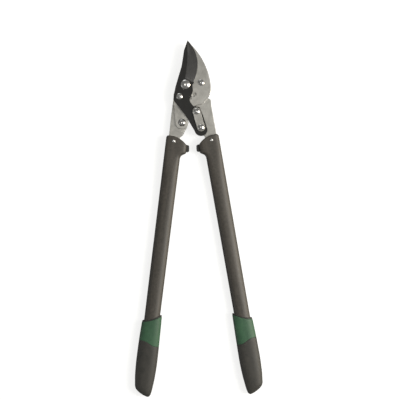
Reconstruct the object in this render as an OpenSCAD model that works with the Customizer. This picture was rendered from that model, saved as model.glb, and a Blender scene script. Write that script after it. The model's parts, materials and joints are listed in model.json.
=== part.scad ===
// Long-handled bypass lopper with a compound linkage, lying flat with its jaws closed.
// X runs to the right, Y towards the blade tip and Z up, all in millimetres.
// The origin is the end of the main pivot bolt, on the plane that the lopper lies on.

/* [Plates] */
// Thickness of the blade plate
blade_t = 4; // [3:0.5:6]
// Thickness of the hook plate
hook_t = 5; // [4:0.5:7]
// Thickness of each tang
tang_t = 4.5; // [3:0.5:6]
// Thickness of the strap in front of the arm
strap_t = 3; // [2:0.5:4]
// Running gap between neighbouring plates
layer_gap = 0.1; // [0.05:0.05:0.2]

/* [Jaws] */
// Distance from the main pivot to the blade tip, along Y
blade_reach = 85; // [72:1:100]
// How far the cutting edge bulges from its chord
edge_bulge = 13; // [9:0.5:14]
// Thickness left at the cutting edge
edge_land = 0.5; // [0.3:0.1:1]
// How far the hook tip stays short of the blade tip, along Y
hook_short = 7; // [3:0.5:8]
// How far the outer side of the hook bulges from its chord
hook_bulge = 9.3; // [7:0.1:11]
// How far the inner side of the hook bulges from its chord
jaw_bulge = 8; // [6:0.5:9]

/* [Linkage] */
// Place along X of the handle pivot in the blade's heel
heel_x = -11.6; // [-12.4:0.1:-10.8]
// Place along Y of the handle pivot
heel_y = -23.2; // [-24:0.1:-22.6]
// Place along X of the drive pin in the hook's tail
drive_x = -6.8; // [-7.6:0.1:-6]
// Place along Y of the drive pin
drive_y = -73.4; // [-75:0.1:-72]
// Place along X of the arm's upper rivet
upper_x = 21.3; // [20.8:0.1:22.5]
// Place along Y of the arm's upper rivet
upper_y = -52.2; // [-53.5:0.1:-51.5]
// Place along X of the arm's lower rivet
lower_x = 29.9; // [28:0.1:31]
// Place along Y of the arm's lower rivet
lower_y = -83.1; // [-85:0.1:-80]
// Place along X of the stop rivet in the hook
stop_x = 29.9; // [28.5:0.1:30.5]
// Place along Y of the stop rivet
stop_y = 3.9; // [3:0.1:5]
// Turns of the hook for each turn of the left handle
hook_ratio = 0.676; // [0.66:0.002:0.69]
// Left handle's travel past the rest position, in degrees
squeeze = 7; // [4:0.5:7.5]
// Left handle's opening travel, in degrees
spread = 59; // [40:1:60]

/* [Pins] */
// Radius of the main bolt's shank
bolt_r = 5; // [4:0.5:6]
// Radius of the main bolt's head
bolt_head_r = 9.5; // [8.5:0.5:11]
// Height of the main bolt's head
bolt_head_h = 4.2; // [3:0.2:5]
// Wall of the bush between bolt and hook
bush_wall = 1.5; // [1:0.25:2.5]
// Height of the lock nut
nut_h = 10; // [8:0.5:11]
// Width of the lock nut across its flats
nut_af = 16; // [14:0.5:18]
// Radius of the shank of every other pin and rivet of the head
pin_r = 3.6; // [3:0.2:4.2]
// Radius of a pin's domed head
pin_head_r = 6.3; // [5.6:0.1:7]
// Height of a pin's domed head
pin_head_h = 3; // [2:0.2:4]
// How much narrower a pin's rear head is
back_head_in = 1; // [0.6:0.1:1.4]
// Height of a pin's rear head
back_head_h = 1.8; // [1:0.1:2.4]
// Thickness of the ring under the drive pin's head
ring_t = 0.8; // [0.5:0.1:1.2]
// Thickness of each washer
washer_t = 1.6; // [1:0.2:2]
// Wall of the spacer sleeves on the pins
sleeve_wall = 1.4; // [1:0.2:1.8]
// Radial clearance of a pin that turns in its bore
run_fit = 0.05; // [0.02:0.01:0.08]
// Clearance of a pin that is set fast in its bore
set_fit = 0.02; // [0.01:0.01:0.04]
// Clearance of a sleeve beside a slot's wall
slot_fit = 0.3; // [0.2:0.05:0.5]

/* [Tangs] */
// Half the width of a tang where it enters the handle
tail_w = 11.5; // [9:0.5:12]
// Half the width of a tang at its hidden end
tail_tip_w = 7.5; // [5:0.5:8]
// Length of a tang inside the handle
tail_len = 75; // [60:1:90]
// Clearance round a tang in its pocket
tail_fit = 0.1; // [0.05:0.05:0.2]

/* [Handles] */
// Thickness of the bosses and grips, which is the height that the lopper lies in
handle_t = 25; // [22:0.5:30]
// Length of a handle from its boss to the grip's end, along the centre line
handle_len = 506; // [430:1:610]
// Half the width of the handle below the boss
neck_w = 15.6; // [14.5:0.1:18]
// Half the width of the handle at the grip's top
shaft_w = 15; // [13.5:0.1:15.5]
// Half the thickness of the handle's shaft
shaft_t = 10.5; // [9.5:0.1:11.5]
// Wall of the moulded handle
handle_wall = 2.6; // [2:0.1:3]
// Wall of the core tube
core_wall = 1.8; // [1:0.1:2.2]
// Clearance of the core tube in the handle
core_fit = 0.15; // [0.05:0.05:0.3]
// How far a boss reaches inwards from the handle's centre line
boss_reach = 26; // [22:0.5:28]
// How far a bumper stands out of its boss
bumper_out = 6; // [4:0.5:6.5]
// Half the thickness of a bumper
bumper_t = 6.5; // [5:0.5:8]
// Depth of a bumper's foot in its pocket
bumper_foot = 3; // [2:0.5:5]
// Radius of the cross rivet's shank
cross_r = 2; // [1.5:0.1:2.5]
// Radius of the cross rivet's heads
cross_head_r = 3; // [2.6:0.1:4]
// Height of the cross rivet's front head
cross_head_h = 1; // [0.8:0.1:2]
// Depth of the counterbore for the cross rivet's rear head
cross_sink = 1; // [0.9:0.1:2]
// Distance of the cross rivet below the boss's top
cross_drop = 8.3; // [7:0.1:12]

/* [Grips] */
// Length of the grip, band and lip together, along the centre line
grip_len = 153; // [132:1:184]
// Length of the green band, along the centre line
band_len = 47; // [38:1:58]
// Length of the lip at the band's top
lip_len = 2.4; // [1.5:0.1:4]
// Half the width of the grip at its widest
grip_w = 20.5; // [19.5:0.1:22]
// How far the grip stands out beside the shaft at the band's top
grip_step = 3.6; // [3:0.1:4.2]
// Length over which the grip swells to its full width
swell_len = 84; // [70:1:90]
// Length of solid grip below the shaft's end
grip_floor = 24; // [21:1:28]
// Rise of the band's top edge for each millimetre across
lip_slope = -0.4; // [-0.5:0.05:0]
// Rise of the band's bottom edge for each millimetre across
band_slope = 0.27; // [0:0.01:0.3]
// Clearance of the grip on the handle
grip_fit = 0.1; // [0.05:0.05:0.2]

/* [Hidden] */

// A little more than a surface's own place, so that a cut passes through it
past = 1;
// Segments of a full circle
$fn = 64;
// Points on each quarter turn of an oval section
quarter = 7;
// Where each handle's centre line starts, and how far the handle leans outwards
left_top = [-21.6, -101.2];
left_lean = 7.04;
right_top = [48.5, -99.1];
right_lean = 9.96;
LEFT = -1;
RIGHT = 1;

// Places of the pins, seen from the main pivot
heel_pivot = [heel_x, heel_y];
drive_at = [drive_x, drive_y];
arm_upper = [upper_x, upper_y];
arm_lower = [lower_x, lower_y];
stop_at = [stop_x, stop_y];

// Heights of the plates, from back to front
mid_z = handle_t / 2;
tang_z = mid_z - tang_t / 2;
hook_z = tang_z + tang_t + layer_gap;
blade_z = hook_z + hook_t + layer_gap;
strap_z = blade_z + blade_t;
front_z = strap_z + strap_t;

// Radii that several pieces share
bush_r = bolt_r + run_fit + bush_wall;
sleeve_r = pin_r + set_fit + sleeve_wall;
washer_r = pin_head_r + 1;
back_head_r = pin_head_r - back_head_in;
// Heights of the upright rims under the domed heads, and of the chamfers at the ends of the shanks
head_rim = 0.6;
bolt_rim = 1;
end_chamfer = 0.8;

// Places along a handle's centre line, from the top down, measured from the top
boss_foot_v = -38;
cavity_top_v = -48;
core_top_v = -60;
shoulder_v = -110;
end_v = -handle_len;
lip_top_v = end_v + grip_len;
band_top_v = lip_top_v - lip_len;
band_end_v = band_top_v - band_len;
swell_end_v = lip_top_v - swell_len;
shaft_end_v = end_v + grip_floor;
// Thickness of the end plug's flange, and how far the plug reaches into the shaft
plug_flange = 1.5;
plug_depth = 5.8;
// Radius of the corners of the shaft's oval section
shaft_round = shaft_t - 0.5;
// Depth of the core tube's outside and inside below the shaft's outer skin
core_out = handle_wall + core_fit;
core_in = core_out + core_wall;

// Colours
BLACK = [0.19, 0.19, 0.17];
SILVER = [0.70, 0.70, 0.66];
STEEL = [0.55, 0.55, 0.54];
HANDLE = [0.30, 0.28, 0.25];
GRIP = [0.21, 0.21, 0.19];
GREEN = [0.22, 0.34, 0.27];

// ---------------------------------------------------------------- points and outlines

function unit(v) = v / norm(v);

function turn(p, a) = [p.x * cos(a) - p.y * sin(a), p.x * sin(a) + p.y * cos(a)];

function on_circle(c, r, from, to, n = 16) =
    [for (i = [0:n]) let(a = from + (to - from) * i / n) c + r * [cos(a), sin(a)]];

// Arc from p to q that bulges to the right of the way from p to q, or to the left if negative.
function arc(p, q, bulge, n = 20) =
    let(d = unit(q - p), side = [d.y, -d.x] * sign(bulge), b = abs(bulge),
        half = 2 * atan(2 * b / norm(q - p)), r = norm(q - p) / (2 * sin(half)),
        o = (p + q) / 2 - side * (r - b))
    [for (i = [0:n]) let(a = half * (2 * i / n - 1)) o + r * (side * cos(a) + d * sin(a))];

function fillet(a, b, c, r, n) =
    let(u = unit(a - b), w = unit(c - b), inner = acos(u * w),
        o = b + unit(u + w) * r / sin(inner / 2), s = b + u * r / tan(inner / 2) - o,
        sweep = -sign(cross(u, w)) * (180 - inner))
    [for (i = [0:n]) o + turn(s, sweep * i / n)];

// Outline through [x, y, corner radius] points. A point without a radius stays sharp.
function rounded(pts, n = 8) =
    let(m = len(pts))
    [for (i = [0:m - 1])
        let(a = pts[(i + m - 1) % m], b = pts[i], c = pts[(i + 1) % m])
        each len(b) < 3 ? [b] : fillet([a.x, a.y], [b.x, b.y], [c.x, c.y], b.z, n)];

// Corner of radius r at x and y from p
function by(p, x, y, r) = [p.x + x, p.y + y, r];

// Point of a list that lies furthest in a direction
function furthest(pts, dir) =
    let(reach = [for (p = pts) p * dir], most = max(reach))
    [for (i = [0:len(pts) - 1]) if (reach[i] == most) pts[i]][0];

// ---------------------------------------------------------------- lofts

function loft_sides(m, n, closed) =
    [for (i = [0:m - (closed ? 1 : 2)]) for (j = [0:n - 1])
        let(k = (j + 1) % n, low = i * n, high = (i + 1) % m * n)
        each [[low + j, low + k, high + j], [low + k, high + k, high + j]]];

function loft_caps(m, n) = [[for (j = [n - 1:-1:0]) j], [for (j = [0:n - 1]) (m - 1) * n + j]];

// Skin over a row of rings. An open row is capped at both ends, and a closed row makes a sleeve.
module loft(rings, closed = false) {
    m = len(rings);
    n = len(rings[0]);
    polyhedron(points = [for (ring = rings) each ring],
               faces = concat(loft_sides(m, n, closed), closed ? [] : loft_caps(m, n)), convexity = 8);
}

// Oval section from u0 to u1 across the handle, b high each way from its middle, with corners of radius r.
// It stands at v along the centre line and leans by slope.
function oval(v, u0, u1, b, r, slope = 0) =
    let(c = (u0 + u1) / 2, a = (u1 - u0) / 2)
    [for (q = [0:3]) for (i = [0:quarter])
        let(t = 90 * (q + i / quarter), su = (q == 0 || q == 3) ? 1 : -1, sz = q < 2 ? 1 : -1,
            u = c + su * (a - r) + r * cos(t))
        [u, v + slope * u, mid_z + sz * (b - r) + r * sin(t)]];

// ---------------------------------------------------------------- handle frames

function top_of(side) = side == LEFT ? left_top : right_top;
function lean_of(side) = side == LEFT ? left_lean : right_lean;

// Place of a point given as distance outwards and distance up along a handle's centre line
function on_handle(side, p) = top_of(side) + turn([side * p.x, p.y], side * lean_of(side));

module handle_frame(side) {
    translate(top_of(side)) rotate(side * lean_of(side))
        if (side == LEFT) mirror([1, 0, 0]) children();
        else children();
}

// ---------------------------------------------------------------- small round pieces

// Domed head of radius r and height h that stands on z = 0, with an upright rim
module dome(r, h, rim = head_rim) {
    n = 10;
    rotate_extrude()
        polygon(concat([[0, 0], [r, 0]],
                       [for (i = [0:n]) let(a = 90 * i / n) [r * cos(a), rim + (h - rim) * sin(a)]]));
}

module disc(at, r, z, h) {
    translate([at.x, at.y, z]) cylinder(r = r, h = h);
}

module ring(at, r, bore, z, h) {
    translate([at.x, at.y, z]) difference() {
        cylinder(r = r, h = h);
        translate([0, 0, -past]) cylinder(r = bore, h = h + 2 * past);
    }
}

// Pin with a domed head in front and a riveted head behind, which both reach into the shank
module rivet(at, back, front, head_r = pin_head_r, head_h = pin_head_h, back_r = back_head_r,
             back_h = back_head_h, shank = pin_r) {
    into = 0.01;
    translate([at.x, at.y, 0]) union() {
        translate([0, 0, front]) dome(head_r, head_h);
        translate([0, 0, back - into]) cylinder(r = shank, h = front - back + 2 * into);
        translate([0, 0, back]) mirror([0, 0, 1]) dome(back_r, back_h, head_rim / 2);
    }
}

module bore(at, r, z, h) {
    disc(at, r, z - past, h + 2 * past);
}

// ---------------------------------------------------------------- blade

blade_tip = [4, blade_reach];
edge_heel = [15.8, 7];
arm_end = arm_lower + [0, -3.8];
arm_end_r = 12.6;

// Down the spine, round the arm, and back up past the bolt to the cutting edge
function blade_outline() = concat(
    rounded(concat(
        [blade_tip, [-2.8, 0.78 * blade_reach, 30], [-7.4, 0.42 * blade_reach, 60], [-19.5, -5, 30],
         by(heel_pivot, -11.6, -0.8, 20), by(heel_pivot, -11.2, -7.8, 5), by(arm_upper, -21.7, -6.8, 60)],
        on_circle(arm_end, arm_end_r, 195, 357),
        [by(arm_upper, 13.2, -9.8, 30), by(arm_upper, 5.7, 8.7, 3), by(arm_upper, -6.8, 10.7, 3),
         [6.8, -30, 5], [14.5, -13, 7], [13.4, -0.5, 3], edge_heel + [0.4, -4.5]])),
    arc(edge_heel, blade_tip, edge_bulge));

// The ground bevel is the space between two curves: where it starts on the flat, and the cutting edge.
// Both curves run past the blade's ends, and the cut runs past its edge.
bevel_low = [-1, 9];
bevel_bulge = 2.6;
bevel_past = 3;

module bevel_cut() {
    n = 20;
    start = arc(bevel_low, blade_tip + [-1.2, bevel_past], bevel_bulge, n);
    edge = arc(edge_heel + [-0.4, -bevel_past], blade_tip + [0, bevel_past], edge_bulge, n);
    low = blade_z + edge_land;
    loft([for (i = [0:n])
        let(out = edge[i] + 2 * past * unit(edge[i] - start[i]),
            drop = (strap_z - low) * norm(out - start[i]) / norm(edge[i] - start[i]))
        [[start[i].x, start[i].y, strap_z], [out.x, out.y, strap_z - drop],
         [out.x, out.y, strap_z + past], [start[i].x, start[i].y, strap_z + past]]]);
}

module blade() {
    color(BLACK) difference() {
        translate([0, 0, blade_z]) linear_extrude(blade_t) polygon(blade_outline());
        bevel_cut();
        bore([0, 0], bolt_r + set_fit, blade_z, blade_t);
        for (at = [heel_pivot, arm_upper, arm_lower]) bore(at, pin_r + set_fit, blade_z, blade_t);
    }
}

strap_r = 7.7;

module arm_strap() {
    along = arm_lower - arm_upper;
    a = atan2(along.y, along.x);
    color(SILVER) difference() {
        translate([0, 0, strap_z]) linear_extrude(strap_t)
            polygon(concat(on_circle(arm_lower, strap_r, a - 90, a + 90),
                           on_circle(arm_upper, strap_r, a + 90, a + 270)));
        for (at = [arm_upper, arm_lower]) bore(at, pin_r + set_fit, strap_z, strap_t);
    }
}

module arm_rivet(at) {
    color(SILVER) rivet(at, tang_z, front_z);
}

module arm_spacer(at) {
    color(STEEL) ring(at, sleeve_r, pin_r + set_fit, tang_z + tang_t, hook_t + 2 * layer_gap);
}

// ---------------------------------------------------------------- hook

hook_tip = blade_tip + [5.7, -hook_short];
hook_heel = [49.3, -10.6];
tail_r = 12.6;
// Arc slot that the handle pivot's sleeve runs in, a little longer than its travel
track_r = norm(heel_pivot);
track_w = sleeve_r + slot_fit;
track_spare = 1;
track_from = atan2(heel_y, heel_x) - hook_ratio * squeeze - track_spare;
track_to = atan2(heel_y, heel_x) + hook_ratio * spread + track_spare;

// Short slot beyond it, over the right tang's nose
sight_r = 26.4;
sight_w = 2.4;
sight_from = track_to + 21.7;
sight_to = sight_from + 9;

// Down the outer side of the hook, past the arm, round the tail, and back up to the jaw
function hook_outline() = concat(
    arc(hook_tip, hook_heel, -hook_bulge),
    rounded(concat(
        [hook_heel, [46.4, -21.5, 8], [34, -37, 14], [17, -41.5, 8], [6, -46, 10],
         by(drive_at, 9.6, 13.4, 20)],
        on_circle(drive_at, tail_r, 5, -175),
        [by(drive_at, -13.8, 15.4, 20), by(heel_pivot, -11.4, -9.8, 20), by(heel_pivot, -11.4, 5.2, 12),
         [-14.5, 2, 10], [-7, 12, 8]])),
    arc([12.5, 12], hook_tip, jaw_bulge));

slot_steps = 40;
end_steps = 16;

// Outline of a slot along an arc round the main pivot, r away from it and 2 w wide. The points where
// its round ends meet its walls belong to the walls.
function arc_slot(r, w, from, to) = let(s = 180 / end_steps) concat(
    on_circle([0, 0], r + w, from, to, slot_steps),
    on_circle(r * [cos(to), sin(to)], w, to + s, to + 180 - s, end_steps - 2),
    on_circle([0, 0], r - w, to, from, slot_steps),
    on_circle(r * [cos(from), sin(from)], w, from + 180 + s, from + 360 - s, end_steps - 2));

module hook() {
    color(SILVER) difference() {
        translate([0, 0, hook_z]) linear_extrude(hook_t) polygon(hook_outline());
        translate([0, 0, hook_z - past]) linear_extrude(hook_t + 2 * past) {
            polygon(arc_slot(track_r, track_w, track_from, track_to));
            polygon(arc_slot(sight_r, sight_w, sight_from, sight_to));
        }
        bore([0, 0], bush_r + set_fit, hook_z, hook_t);
        for (at = [drive_at, stop_at]) bore(at, pin_r + set_fit, hook_z, hook_t);
    }
}

// Its shank stands out behind the hook as far as the tangs' middle, where it meets the right tang's nose.
module hook_stop_rivet() {
    color(SILVER) rivet(stop_at, mid_z, hook_z + hook_t,
                        back_r = pin_r - end_chamfer / 2, back_h = end_chamfer);
}

module drive_pin() {
    color(SILVER) rivet(drive_at, tang_z - layer_gap - washer_t, hook_z + hook_t + ring_t);
}

module drive_pin_ring() {
    color(BLACK) ring(drive_at, washer_r, pin_r + set_fit, hook_z + hook_t, ring_t);
}

module drive_bush() {
    color(STEEL) ring(drive_at, sleeve_r, pin_r + set_fit, tang_z - layer_gap, tang_t + 2 * layer_gap);
}

module drive_washer() {
    color(STEEL) ring(drive_at, washer_r, pin_r + set_fit, tang_z - layer_gap - washer_t, washer_t);
}

// ---------------------------------------------------------------- main pivot

module pivot_bolt() {
    color(SILVER) union() {
        translate([0, 0, strap_z]) dome(bolt_head_r, bolt_head_h, bolt_rim);
        translate([0, 0, end_chamfer]) cylinder(r = bolt_r, h = strap_z);
        cylinder(r1 = bolt_r - end_chamfer, r2 = bolt_r, h = end_chamfer);
    }
}

module pivot_bush() {
    color(STEEL) ring([0, 0], bush_r, bolt_r + run_fit, hook_z - layer_gap / 2, hook_t + layer_gap);
}

module pivot_washer() {
    color(STEEL) ring([0, 0], bolt_head_r, bolt_r + set_fit, hook_z - layer_gap - washer_t, washer_t);
}

module pivot_nut() {
    top = hook_z - layer_gap - washer_t;
    color(STEEL) translate([0, 0, top - nut_h]) difference() {
        cylinder(r = nut_af / (2 * cos(30)), h = nut_h, $fn = 6);
        translate([0, 0, -past]) cylinder(r = bolt_r + set_fit, h = nut_h + 2 * past);
    }
}

// ---------------------------------------------------------------- handle pivot

module handle_pivot_pin() {
    color(SILVER) rivet(heel_pivot, tang_z - layer_gap - washer_t, strap_z);
}

module handle_pivot_spacer() {
    color(STEEL) ring(heel_pivot, sleeve_r, pin_r + set_fit, hook_z - layer_gap / 2,
                      hook_t + 1.5 * layer_gap);
}

module handle_pivot_washer() {
    color(STEEL) ring(heel_pivot, washer_r, pin_r + set_fit, tang_z - layer_gap - washer_t, washer_t);
}

// ---------------------------------------------------------------- tangs

heel_r = 11.7;
tip_round = 3;
cam_steps = 24;
cam_sides = 48;

// Place of the drive pin in the left tang when the left handle has turned clockwise by a
function cam_point(a) = heel_pivot + turn(turn(drive_at, -hook_ratio * a) - heel_pivot, a);

cam_path = [for (i = [0:cam_steps]) cam_point(-squeeze + (spread + squeeze) * i / cam_steps)];
cam_r = sleeve_r + run_fit;

// The cam slot holds the bush at every point of its path.
function cam_outline() =
    [for (i = [0:cam_sides - 1]) let(a = 360 * i / cam_sides, dir = [cos(a), sin(a)])
        furthest(cam_path, dir) + cam_r * dir];

// Tapered outline of a tang inside its handle, grown by a clearance, from top_v down to the tip
function tail(side, top_v = past, grow = 0) = [
    on_handle(side, [tail_w + grow, top_v]), on_handle(side, [tail_w + grow, 0]),
    on_handle(side, [tail_tip_w + grow, -tail_len]), on_handle(side, [-tail_tip_w - grow, -tail_len]),
    on_handle(side, [-tail_w - grow, 0]), on_handle(side, [-tail_w - grow, top_v])
];

function left_tang_outline() = let(t = tail(LEFT)) rounded(concat(
    on_circle(heel_pivot, heel_r, 0, 185),
    [by(drive_at, -21, 13.4, 30), by(left_top, -10.2, 5.2, 20)],
    [t[0], t[1], by(t[2], 0, 0, tip_round), by(t[3], 0, 0, tip_round), t[4], t[5]],
    [by(left_top, 16.3, 3.2, 10), by(drive_at, 9.8, -8.6, 6), by(drive_at, 10, 9.4, 10)]));

module left_tang() {
    color(SILVER) difference() {
        translate([0, 0, tang_z]) linear_extrude(tang_t) polygon(left_tang_outline());
        bore(heel_pivot, pin_r + run_fit, tang_z, tang_t);
        translate([0, 0, tang_z - past]) linear_extrude(tang_t + 2 * past) polygon(cam_outline());
        bore(cross_at(LEFT), cross_r + set_fit, tang_z, tang_t);
    }
}

// Its nose stands clear of the stop rivet's place with the handles wide open.
nose_gap = 0.6;
function right_tang_outline() = let(t = tail(RIGHT), open = turn(stop_at, -hook_ratio * spread),
                                    nose_x = open.x - pin_r - nose_gap) rounded([
    [4.6, -29, 3], [8.5, -19, 2.5], [17.8, -14.8, 2.5], [nose_x, open.y + 0.8, 2],
    [nose_x, open.y - 4.3, 2], [28, -21.5, 3], [49.3, -28, 6], [49.6, -40, 20], by(right_top, 11.2, 4.1, 30),
    t[0], t[1], by(t[2], 0, 0, tip_round), by(t[3], 0, 0, tip_round), t[4], t[5],
    by(right_top, -12.9, 0.6, 8), by(arm_lower, -9.9, -8.9, 8), by(arm_upper, -9.1, -3.8, 10)]);

module right_tang() {
    color(SILVER) difference() {
        translate([0, 0, tang_z]) linear_extrude(tang_t) polygon(right_tang_outline());
        for (at = [arm_upper, arm_lower]) bore(at, pin_r + set_fit, tang_z, tang_t);
        bore(cross_at(RIGHT), cross_r + set_fit, tang_z, tang_t);
    }
}

// ---------------------------------------------------------------- handles

function cross_at(side) = on_handle(side, [0.4, -cross_drop]);

// Half the width of the shaft at v, which narrows from the neck to the grip
function shaft_w_at(v) =
    v > boss_foot_v ? neck_w
    : v < lip_top_v ? shaft_w
    : shaft_w + (neck_w - shaft_w) * (v - lip_top_v) / (boss_foot_v - lip_top_v);

// Rings of the boss: [v, inner edge, outer edge, corner radius]
foot_round = 7.5;
boss_rings = [
    [1.8, -2.5, neck_w - 3, 3], [1, -4.8, neck_w - 1.1, 4.5], [-0.5, -8.3, neck_w, 5.5],
    [-3, -13, neck_w, 6], [-6.5, -18.8, neck_w, 6], [-10.3, 1 - boss_reach, neck_w, 6],
    [-12.3, -boss_reach, neck_w, 6], [-27, -boss_reach, neck_w, 6], [-30.5, 2 - boss_reach, neck_w, 6],
    [-33.7, -neck_w - 3.9, neck_w, 6.5], [-36.4, -neck_w - 1, neck_w, 7],
    [boss_foot_v - 2, -neck_w, neck_w, foot_round]
];

// The shaft's oval section at v, shrunk by inset
function shaft_oval(v, inset) =
    let(w = shaft_w_at(v) - inset) oval(v, -w, w, shaft_t - inset, shaft_round - inset);

module handle_body(side) {
    shaft = [for (f = [0.25, 0.5, 0.75, 1])
        let(v = boss_foot_v - 2 + f * (shoulder_v - boss_foot_v + 2), w = shaft_w_at(v),
            ease = (1 - cos(180 * f)) / 2)
        oval(v, -w, w, mid_z + (shaft_t - mid_z) * ease, foot_round + (shaft_round - foot_round) * ease)];
    ends = [for (v = [lip_top_v, shaft_end_v]) shaft_oval(v, 0)];
    cavity = [for (v = [shaft_end_v, lip_top_v, shoulder_v, cavity_top_v]) shaft_oval(v, handle_wall)];
    color(HANDLE) difference() {
        handle_frame(side)
            loft(concat([for (r = boss_rings) oval(r[0], r[1], r[2], mid_z, r[3])], shaft, ends, cavity));
        translate([0, 0, tang_z - tail_fit]) linear_extrude(tang_t + 2 * tail_fit)
            polygon(tail(side, 12, tail_fit));
        bore(cross_at(side), cross_r + set_fit, 0, handle_t);
        disc(cross_at(side), cross_head_r + tail_fit, -past, past + cross_sink);
        bumper_solid(side, run_fit);
    }
}

function bumper_outline(side, grow) =
    [for (p = rounded([
        [bumper_foot - boss_reach + grow, -14.5 + grow], [bumper_foot - boss_reach + grow, -25 - grow],
        [-boss_reach, -26.6 - grow], [-boss_reach - bumper_out, -24.8, 3.5],
        [1.6 - boss_reach - bumper_out, -13, 3], [0.5 - boss_reach, -12 + grow]]))
        on_handle(side, p)];

module bumper_solid(side, grow = 0) {
    translate([0, 0, mid_z - bumper_t - grow]) linear_extrude(2 * (bumper_t + grow))
        polygon(bumper_outline(side, grow));
}

module bumper(side) {
    color(GRIP) bumper_solid(side);
}

module cross_rivet(side) {
    color(SILVER) rivet(cross_at(side), cross_sink, handle_t, head_r = cross_head_r, head_h = cross_head_h,
                        back_r = cross_head_r, back_h = end_chamfer, shank = cross_r);
}

module core(side) {
    foot_v = shaft_end_v + plug_depth + 0.2;
    color(STEEL) handle_frame(side) loft(closed = true, rings = concat(
        [for (v = [core_top_v, lip_top_v, foot_v]) shaft_oval(v, core_out)],
        [for (v = [foot_v, lip_top_v, core_top_v]) shaft_oval(v, core_in)]));
}

// Its flange closes the shaft's end, and its body fills the end of the bore.
module end_plug(side) {
    edge = 1;
    body = handle_wall + core_fit;
    color(GRIP) handle_frame(side) loft([
        shaft_oval(shaft_end_v - plug_flange, edge), shaft_oval(shaft_end_v, edge),
        shaft_oval(shaft_end_v, body), shaft_oval(shaft_end_v + plug_depth, body)
    ]);
}

// ---------------------------------------------------------------- grips

// How far the lip stands back from the green band
lip_in = 0.5;
// Thickness that the grip adds to the shaft at the band's top
grip_rise = 1.3;

// Half the grip's width, and half its thickness, at v above the end's rounding
function swell_at(v) = let(share = (lip_top_v - v) / swell_len) share > 1 ? 1 : sin(90 * share);
function grip_w_at(v) = shaft_w + grip_step + (grip_w - shaft_w - grip_step) * swell_at(v);
function grip_t_at(v) = shaft_t + grip_rise + (mid_z - shaft_t - grip_rise) * swell_at(v);

// Oval of the grip's outer skin at v, shrunk by inset
function grip_oval(v, inset, slope) =
    let(w = grip_w_at(v) - inset, b = grip_t_at(v) - inset) oval(v, -w, w, b, b - 2.5, slope);

// Oval of the socket that the shaft fills
function socket(v, slope) =
    oval(v, -shaft_w - grip_fit, shaft_w + grip_fit, shaft_t + grip_fit, shaft_round + grip_fit, slope);

module grip_lip(side) {
    color(GRIP) handle_frame(side) loft(closed = true, rings = [
        socket(lip_top_v, lip_slope), grip_oval(lip_top_v, 2 * lip_in, lip_slope),
        grip_oval(lip_top_v - lip_len / 3, lip_in, lip_slope), grip_oval(band_top_v, lip_in, lip_slope),
        socket(band_top_v, lip_slope)
    ]);
}

module grip_band(side) {
    steps = 5;
    color(GREEN) handle_frame(side) loft(closed = true, rings = concat(
        [socket(band_top_v, lip_slope)],
        [for (i = [0:steps])
            let(f = i / steps)
            grip_oval(band_top_v - f * band_len, 0, lip_slope + (band_slope - lip_slope) * f)],
        [socket(band_end_v, band_slope)]));
}

// Rings of the grip's rounded end, which reaches further down on its inner side:
// [outer edge, its height, inner edge, its height, inset of the thickness], with edges as shares of grip_w
end_rings = [
    [-0.29, 0.7, -0.49, 0, 9], [-0.05, 2.7, -0.575, 0.3, 6.8], [0.245, 5.7, -0.66, 1.5, 4.6],
    [0.51, 9.3, -0.73, 4.2, 2.7], [0.705, 13.2, -0.79, 8.8, 1.3], [0.82, 18.5, -0.84, 15.5, 0.5],
    [0.88, 27, -0.89, 25, 0.2], [0.945, 38, -0.945, 36, 0]
];

function end_oval(e) =
    let(out = e[0] * grip_w, in = e[2] * grip_w, slope = (e[1] - e[3]) / (out - in), b = mid_z - e[4])
    oval(end_v + e[1] - slope * out, in, out, b, min(b - 0.5, mid_z - 2.5), slope);

module grip(side) {
    steps = 5;
    from_v = swell_end_v - 12;
    from_slope = 0.12;
    color(GRIP) handle_frame(side) loft(concat(
        [for (e = end_rings) end_oval(e)],
        [for (i = [0:steps])
            let(f = i / steps)
            grip_oval(from_v + f * (band_end_v - from_v), 0, from_slope + (band_slope - from_slope) * f)],
        [socket(band_end_v, band_slope), socket(shaft_end_v - plug_flange - 0.3, 0)]));
}

blade();
arm_strap();
arm_rivet(arm_upper);  // arm_rivet_upper
arm_rivet(arm_lower);  // arm_rivet_lower
arm_spacer(arm_upper);  // arm_spacer_upper
arm_spacer(arm_lower);  // arm_spacer_lower
pivot_bolt();
pivot_bush();
pivot_washer();
pivot_nut();
handle_pivot_pin();
handle_pivot_spacer();
handle_pivot_washer();
hook();
hook_stop_rivet();
drive_pin();
drive_pin_ring();
drive_bush();
drive_washer();
left_tang();
handle_body(LEFT);  // left_handle
core(LEFT);  // left_core
bumper(LEFT);  // left_bumper
cross_rivet(LEFT);  // left_cross_rivet
grip(LEFT);  // left_grip
grip_band(LEFT);  // left_grip_band
grip_lip(LEFT);  // left_grip_lip
end_plug(LEFT);  // left_end_plug
right_tang();
handle_body(RIGHT);  // right_handle
core(RIGHT);  // right_core
bumper(RIGHT);  // right_bumper
cross_rivet(RIGHT);  // right_cross_rivet
grip(RIGHT);  // right_grip
grip_band(RIGHT);  // right_grip_band
grip_lip(RIGHT);  // right_grip_lip
end_plug(RIGHT);  // right_end_plug
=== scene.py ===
"""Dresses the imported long-handled bypass lopper: finished meshes, materials, a studio and a camera.

Lengths are metres in the lopper's own frame: X to the right, Y towards the blade tip and Z out of the
front of the head. A handle also has a frame of its own: u points outwards across it, v up along it.
"""

from __future__ import annotations

import json
import logging
import math
from dataclasses import dataclass
from enum import Enum
from typing import Callable, Sequence

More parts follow.
